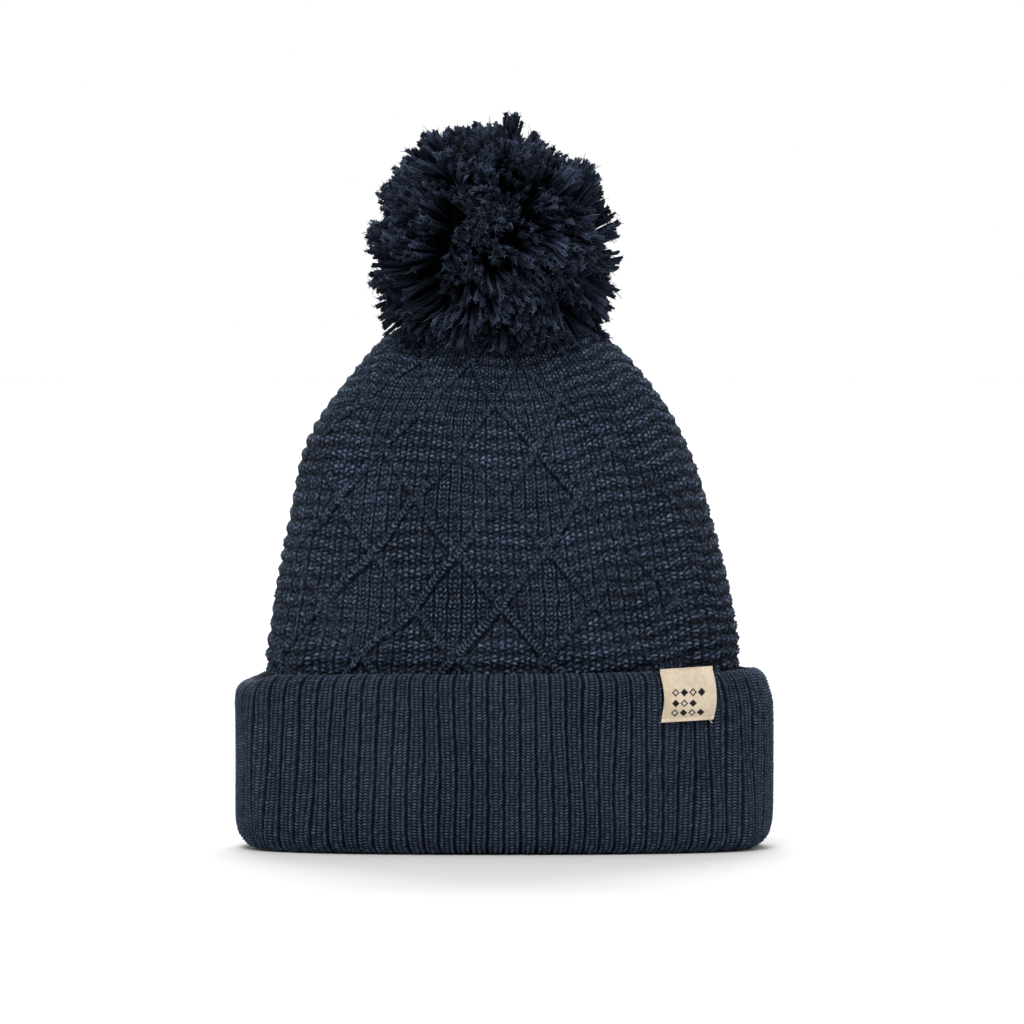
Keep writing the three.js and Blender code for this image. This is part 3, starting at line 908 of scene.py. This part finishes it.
def overlock(name, path, material):
    """A covered seam allowance: a flat core along the path with thread wound round it."""
    run = run_along(path)
    heading = unit(np.gradient(path, axis=0))
    across = np.array([1.0, 0.0, 0.0])

    def middle_and_normal(at):
        return at_run(path, run, at), unit(np.cross(unit(at_run(heading, run, at)), across))

    at = np.linspace(0, run[-1], int(run[-1] / SEAM_PITCH * 12))
    middle, normal = middle_and_normal(at)
    angle = TURN * at[:, None] / SEAM_PITCH
    wound = middle + across * (SEAM_HALF_WIDTH - 0.35) * np.cos(angle)
    wound = wound + normal * (SEAM_HALF_THICK - 0.3) * np.sin(angle)
    vertices, quads, triangles = tubes(wound[None], np.full((1, len(at)), 0.34), 6, close_root=True)
    rows = len(at) // 4
    middle, normal = middle_and_normal(np.linspace(0.4, run[-1] - 0.4, rows))
    angle = np.linspace(0, TURN, CORE_SIDES + 1)[:-1, None]
    wide = (SEAM_HALF_WIDTH - 0.55) * signed_power(np.cos(angle), 0.6)
    thick = (SEAM_HALF_THICK - 0.4) * signed_power(np.sin(angle), 0.6)
    core = middle[:, None] + across * wide + normal[:, None] * thick
    k = np.arange(CORE_SIDES - 2)
    near = np.stack([0 * k, CORE_SIDES - 1 - k, CORE_SIDES - 2 - k], axis=1)
    far = np.stack([0 * k, k + 1, k + 2], axis=1) + (rows - 1) * CORE_SIDES
    offset = len(vertices)
    vertices = np.concatenate([vertices, core.reshape(-1, 3)])
    quads = np.concatenate([quads, grid_faces(rows, CORE_SIDES, False, True) + offset])
    triangles = np.concatenate([triangles, near + offset, far + offset])
    full = np.full(len(vertices), 0.8)
    attributes = {"stitch": full, "pick": full * 0.5, "depth": full}
    return make_object(name, vertices, quads, triangles, attributes, material)


def build_seams(material):
    outside, run = dense_path(CROWN_GUIDE)
    along = np.gradient(outside[:, :2], axis=0)
    along /= np.linalg.norm(along, axis=1, keepdims=True)
    low, high = cad_box("crown_back_seam")
    inner_y = outside[:, 2] - along[:, 1] * CROWN_WALL - 1.7
    inner_z = outside[:, 1] + along[:, 0] * CROWN_WALL * 0.6
    keep = (inner_z > low[2]) & (inner_z < high[2])
    path = np.stack([lean_at(inner_z[keep]), inner_y[keep], inner_z[keep]], axis=1)
    crown_seam = overlock("crown_back_seam_overlock", path, material)
    low, high = cad_box("band_back_seam")
    z = np.linspace(low[2], high[2], 40)
    y = np.interp(z, [low[2], 20, 40, high[2]], [high[1] - 1.2, high[1] - 1.3, high[1] - 2.7, low[1] + 1.2])
    path = np.stack([0 * z, y, z], axis=1)
    band_seam = overlock("band_back_seam_overlock", path, material)
    ring = plan_ring(CHAIN_HIGH[0] - 0.8, (CHAIN_LOW[2] + CHAIN_HIGH[2]) / 2)
    chain = twisted_yarn("band_linking_chain_yarn", ring, 0.8, 3.4, material, plies=3)
    return crown_seam, band_seam, chain


def build_ties(seam_material, pom_material):
    radius = (GATHER_HIGH[0] - GATHER_LOW[0]) / 2 - 0.9
    z = (GATHER_LOW[2] + GATHER_HIGH[2]) / 2
    gather = twisted_yarn("crown_gather_yarn_ply", coil(radius, 1, z, z, 80), 0.9, 3.0, seam_material)
    cord_line = np.linspace((LEAN, 0, CORD_LOW[2]), (LEAN, 0, CORD_HIGH[2]), 30)
    cord = twisted_yarn("pom_tie_cord_ply", cord_line, CORD_HIGH[0] - LEAN, 5.0, pom_material)
    radius = (WAIST_HIGH[0] - WAIST_LOW[0]) / 2 - 0.8
    waist_line = coil(radius, 3, WAIST_LOW[2] - 0.6, WAIST_HIGH[2] + 0.6, 160)
    waist = twisted_yarn("pom_waist_tie_coil", waist_line, 0.8, 3.0, pom_material)
    t = np.linspace(0, TURN, 220)
    wide = (2 + np.cos(3 * t)) / 3
    knot_line = np.stack([wide * np.cos(2 * t), wide * np.sin(2 * t), np.sin(3 * t)], axis=1)
    knot_line = knot_line * ((KNOT_HIGH - KNOT_LOW) / 2 - 1.5) + (LEAN, 0, (KNOT_LOW[2] + KNOT_HIGH[2]) / 2)
    knot = twisted_yarn("pom_tie_knot_yarn", knot_line, 1.5, 5.0, pom_material)
    return gather, cord, waist, knot


# ---------------- materials


class Nodes:
    """Short hand for wiring one material's nodes."""

    def __init__(self, name):
        self.material = bpy.data.materials.new(name)
        self.material.use_nodes = True
        self.tree = self.material.node_tree
        self.shader = next(n for n in self.tree.nodes if n.type == "BSDF_PRINCIPLED")

    def new(self, kind, **settings):
        node = self.tree.nodes.new(kind)
        for key, value in settings.items():
            setattr(node, key, value)
        return node

    def link(self, source, target):
        self.tree.links.new(source, target)

    def attribute(self, name):
        return self.new("ShaderNodeAttribute", attribute_name=name).outputs["Fac"]

    def math(self, operation, a, b=None, clamp=False):
        node = self.new("ShaderNodeMath", operation=operation, use_clamp=clamp)
        for socket, value in zip(node.inputs, (a, b)):
            if value is None:
                continue
            if isinstance(value, (int, float)):
                socket.default_value = value
            else:
                self.link(value, socket)
        return node.outputs[0]

    def mul(self, a, b, clamp=False):
        return self.math("MULTIPLY", a, b, clamp)

    def add(self, a, b, clamp=False):
        return self.math("ADD", a, b, clamp)

    def place(self):
        return self.new("ShaderNodeTexCoord").outputs["Object"]

    def noise(self, scale, detail=3.0, roughness=0.6, stretch=None):
        node = self.new("ShaderNodeTexNoise")
        node.inputs["Scale"].default_value = scale
        node.inputs["Detail"].default_value = detail
        node.inputs["Roughness"].default_value = roughness
        source = self.place()
        if stretch is not None:
            mapping = self.new("ShaderNodeMapping")
            mapping.inputs["Scale"].default_value = stretch
            self.link(source, mapping.inputs["Vector"])
            source = mapping.outputs[0]
        self.link(source, node.inputs["Vector"])
        return node.outputs["Fac"]

    def ramp(self, value, stops):
        node = self.new("ShaderNodeValToRGB")
        elements = node.color_ramp.elements
        for k, (at, colour) in enumerate(stops):
            stop = elements[k] if k < 2 else elements.new(at)
            stop.position = at
            stop.color = (*colour, 1)
        self.link(value, node.inputs["Fac"])
        return node.outputs["Color"]

    def mix(self, kind, share, a, b):
        node = self.new("ShaderNodeMix", data_type="RGBA", blend_type=kind)
        for socket, value in ((node.inputs["Factor"], share), (node.inputs[6], a), (node.inputs[7], b)):
            if isinstance(value, (int, float)):
                socket.default_value = value
            elif isinstance(value, tuple):
                socket.default_value = (*value, 1)
            else:
                self.link(value, socket)
        return node.outputs[2]

    def bump(self, height, distance, strength=1.0):
        node = self.new("ShaderNodeBump")
        node.inputs["Strength"].default_value = strength
        node.inputs["Distance"].default_value = distance
        self.link(height, node.inputs["Height"])
        self.link(node.outputs[0], self.shader.inputs["Normal"])

    def paint(self, colour):
        self.link(colour, self.shader.inputs["Base Color"])

    def base(self, roughness, specular=0.3, sheen=0.0, sheen_roughness=0.5, sheen_tint=(1, 1, 1)):
        self.shader.inputs["Roughness"].default_value = roughness
        self.shader.inputs["Specular IOR Level"].default_value = specular
        self.shader.inputs["Sheen Weight"].default_value = sheen
        self.shader.inputs["Sheen Roughness"].default_value = sheen_roughness
        self.shader.inputs["Sheen Tint"].default_value = (*sheen_tint, 1)


def knit_material(name, dark, light, fleck, pit_shade):
    """Navy yarn with painted light and shade: dark between stitches and in hollows, paler on their crowns,
    painted shade in small pits, with fine fibre noise and stray flecks.
    """
    n = Nodes(name)
    stitch = n.attribute("stitch")
    pick = n.attribute("pick")
    depth = n.attribute("depth")
    fibre = n.noise(2300.0, 2.0, 0.7)
    patch = n.noise(26.0, 3.0, 0.55)
    # Painted light and shade from the stitch attribute, varied by each stitch's random pick.
    level = n.mul(n.math("POWER", stitch, 1.7), n.add(n.mul(pick, 0.7), 0.65))
    level = n.add(level, n.mul(n.math("SUBTRACT", fibre, 0.5), 0.8))
    level = n.add(level, n.mul(n.math("SUBTRACT", patch, 0.5), 0.22))
    colour = n.ramp(n.add(level, 0.04, clamp=True), [(0.0, dark), (1.0, light)])
    flecks = n.math("GREATER_THAN", n.noise(900.0, 1.0, 0.5), 0.72)
    colour = n.mix("MIX", n.mul(flecks, 0.5), colour, fleck)
    # Painted shade: darker the deeper a point lies in the knit's relief.
    shade = n.add(n.mul(depth, 0.7), 0.3, clamp=True)
    colour = n.mix("MULTIPLY", 1.0, colour, n.ramp(shade, [(0.0, (0, 0, 0)), (1.0, (1, 1, 1))]))
    # Painted shade in small random pits, the gaps between yarn curls, which the bump also sinks.
    curl = n.noise(760.0, 1.5, 0.6)
    painted_pit_shade = n.ramp(curl, [(0.36, (0.12, 0.13, 0.18)), (0.56, (1, 1, 1))])
    colour = n.mix("MULTIPLY", pit_shade, colour, painted_pit_shade)
    n.paint(colour)
    n.base(0.8, 0.07, 0.015, 0.4, (0.62, 0.7, 0.86))
    n.bump(n.add(fibre, n.mul(curl, 1.3)), 0.00035, 1.0)
    return n.material


def yarn_material(name, dark, light, gain):
    """Loose pom pom yarn, with painted shade: nearly black inside the pile, lightening to navy at the ends.
    """
    n = Nodes(name)
    outward = n.attribute("outward")
    pick = n.attribute("pick")
    fibre = n.noise(1400.0, 3.0, 0.7)
    # Painted shade: the deeper a point lies in the pile, the darker.
    level = n.mul(n.math("SUBTRACT", outward, 0.65), 2.85, clamp=True)
    level = n.mul(level, n.add(n.mul(n.math("POWER", pick, 2.6), 1.35), 0.09))
    level = n.mul(level, n.add(n.mul(fibre, 1.3), gain), clamp=True)
    colour = n.ramp(level, [(0.0, dark), (0.95, light)])
    n.paint(colour)
    n.base(0.75, 0.05, 0.006, 0.4, (0.6, 0.68, 0.85))
    n.bump(fibre, 0.0005, 0.9)
    return n.material


def woven_material(name, ground, shadow, marks):
    """Fine woven ribbon: warp and weft ridges, a faint grain and darker woven marks."""
    n = Nodes(name)
    along = n.attribute("along")
    across = n.attribute("across")
    warp = n.math("SINE", n.mul(across, TURN / 0.34))
    weft = n.math("SINE", n.mul(along, TURN / 0.26))
    weave = n.mul(warp, weft)
    grain = n.noise(620.0, 3.0, 0.6)
    patch = n.noise(90.0, 2.0, 0.5)
    stain = n.add(n.mul(grain, 0.5), n.mul(patch, 0.45))
    level = n.add(n.mul(weave, 0.1), stain)
    colour = n.mix("MIX", n.attribute("mark"), n.ramp(level, [(0.15, shadow), (0.8, ground)]), marks)
    n.paint(colour)
    n.base(0.75, 0.15, 0.05, 0.4, (1, 0.96, 0.9))
    n.bump(n.add(weave, grain), 0.00008, 1.0)
    return n.material


def satin_material(name, ground, shadow):
    """Smooth ribbon with threads across it and long faint streaks."""
    n = Nodes(name)
    along = n.attribute("along")
    threads = n.math("SINE", n.mul(along, TURN / 0.3))
    streak = n.noise(240.0, 3.0, 0.6, (0.15, 1.0, 3.0))
    colour = n.ramp(n.add(n.mul(threads, 0.08), streak), [(0.25, shadow), (0.8, ground)])
    n.paint(colour)
    n.base(0.36, 0.5, 0.2, 0.3, (1, 1, 1))
    n.bump(n.add(threads, streak), 0.00004, 0.7)
    return n.material


def thread_material(name, light, dark):
    """Sewing thread, mottled by its twist."""
    n = Nodes(name)
    twist = n.noise(2400.0, 2.0, 0.6, (1.0, 1.0, 2.0))
    n.paint(n.ramp(twist, [(0.25, dark), (0.75, light)]))
    n.base(0.6, 0.35, 0.2, 0.4, (1, 0.97, 0.92))
    n.bump(twist, 0.00008, 0.8)
    return n.material


def floor_material():
    n = Nodes("studio_floor")
    haze = n.noise(0.6, 2.0, 0.5)
    grey = n.ramp(haze, [(0.0, (0.575, 0.575, 0.575)), (1.0, (0.595, 0.595, 0.595))])
    n.paint(grey)
    n.base(0.9, 0.1)
    return n.material


# ---------------- build

FLECK = (0.026, 0.020, 0.036)
crown_mat = knit_material("navy_crown_knit", (0.0012, 0.0026, 0.0080), (0.146, 0.209, 0.320), FLECK, 0.85)
rib_mat = knit_material("navy_rib_knit", (0.0016, 0.0032, 0.0090), (0.096, 0.137, 0.218), FLECK, 0.45)
seam_mat = knit_material("navy_seam_yarn", (0.0018, 0.0028, 0.0064), (0.040, 0.056, 0.092), FLECK, 0.4)
pom_mat = yarn_material("navy_pom_yarn", (0.0006, 0.0011, 0.0028), (0.066, 0.092, 0.160), 0.0)
fibre_mat = yarn_material("navy_pom_fibre", (0.0005, 0.0010, 0.0026), (0.115, 0.150, 0.235), 0.1)
MARKS = (0.006, 0.008, 0.014)
label_mat = woven_material("cream_woven_ribbon", (0.99, 0.84, 0.655), (0.50, 0.40, 0.28), MARKS)
thread_mat = thread_material("cream_thread", (0.62, 0.56, 0.47), (0.42, 0.36, 0.29))
satin_mat = satin_material("white_satin_ribbon", (0.82, 0.81, 0.78), (0.68, 0.67, 0.65))

band = place(build_band(rib_mat), "hat", "ribbed_band", "ribbed_band")
place(build_crown(crown_mat), "hat", "knit_crown", "knit_crown")
strands, fibres, heart = build_pom(pom_mat, fibre_mat)
place(strands, "pom", "pom_yarn", "pom_pile")
place(fibres, "pom", "pom_yarn")
place(heart, "pom", "pom_yarn")
label, front_stitch, back_stitch, label_length = build_label(label_mat, thread_mat)
place(label, "hat", "woven_label", "woven_label")
place(front_stitch, "hat", "label_thread", "label_front_stitch")
place(back_stitch, "hat", "label_thread", "label_back_stitch")
care, care_stitch, care_length = build_care_label(satin_mat, thread_mat)
place(care, "care_label", "care_label", "care_label")
place(care_stitch, "care_label", "label_thread", "care_label_stitch")
crown_seam, band_seam, chain = build_seams(seam_mat)
place(crown_seam, "hat", "seam_yarn", "crown_back_seam")
place(band_seam, "hat", "seam_yarn", "band_back_seam")
place(chain, "hat", "seam_yarn", "band_linking_chain")
gather, cord, waist, knot = build_ties(seam_mat, pom_mat)
place(gather, "hat", "seam_yarn", "crown_gather_yarn")
place(cord, "tie_cord", "pom_yarn", "pom_tie_cord")
place(waist, "tie_cord", "pom_yarn", "pom_waist_tie")
place(knot, "tie_knot", "pom_yarn", "pom_tie_knot")

# ---------------- studio

floor_mesh = bpy.data.meshes.new("studio_floor")
reach = 12.0
corners = [(-reach, -reach, 0), (reach, -reach, 0), (reach, reach, 0), (-reach, reach, 0)]
floor_mesh.from_pydata(corners, [], [(0, 1, 2, 3)])
floor = bpy.data.objects.new("studio_floor", floor_mesh)
floor.location.z = -0.0002
bpy.context.scene.collection.objects.link(floor)
floor_mesh.materials.append(floor_material())

world = bpy.data.worlds.new("studio")
world.use_nodes = True
background = next(n for n in world.node_tree.nodes if n.type == "BACKGROUND")
background.inputs["Color"].default_value = (1, 1, 1, 1)
background.inputs["Strength"].default_value = 1.0
bpy.context.scene.world = world
bpy.context.scene.view_settings.view_transform = "Standard"

TARGET = Vector((0.0034, 0, 0.1405))


def soft_sun(name, azimuth, elevation, spread, strength):
    """A broad far light, coming from an azimuth (0 is the front, 90 the right) and elevation in degrees."""
    light = bpy.data.lights.new(name, "SUN")
    light.energy = strength
    light.angle = math.radians(spread)
    made = bpy.data.objects.new(name, light)
    a, e = math.radians(azimuth), math.radians(elevation)
    source = Vector((math.sin(a) * math.cos(e), -math.cos(a) * math.cos(e), math.sin(e)))
    made.location = TARGET + source * 3
    made.rotation_euler = source.to_track_quat("Z", "Y").to_euler()
    bpy.context.scene.collection.objects.link(made)
    return made


soft_sun("key_panel", -10, 50, 20, 1.6)
soft_sun("back_panel", 180, 34, 34, 3.2)

camera_data = bpy.data.cameras.new("camera")
camera_data.sensor_width = 36
camera = bpy.data.objects.new("camera", camera_data)
bpy.context.scene.collection.objects.link(camera)
DISTANCE = 4.5
ELEVATION = math.radians(1.6)
VIEW_WIDTH = 0.430
camera_data.lens = 36 * DISTANCE / VIEW_WIDTH
camera_data.clip_end = 60
camera.location = TARGET + Vector((0, -math.cos(ELEVATION), math.sin(ELEVATION))) * DISTANCE
camera.rotation_euler = (TARGET - camera.location).to_track_quat("-Z", "Y").to_euler()
bpy.context.scene.camera = camera
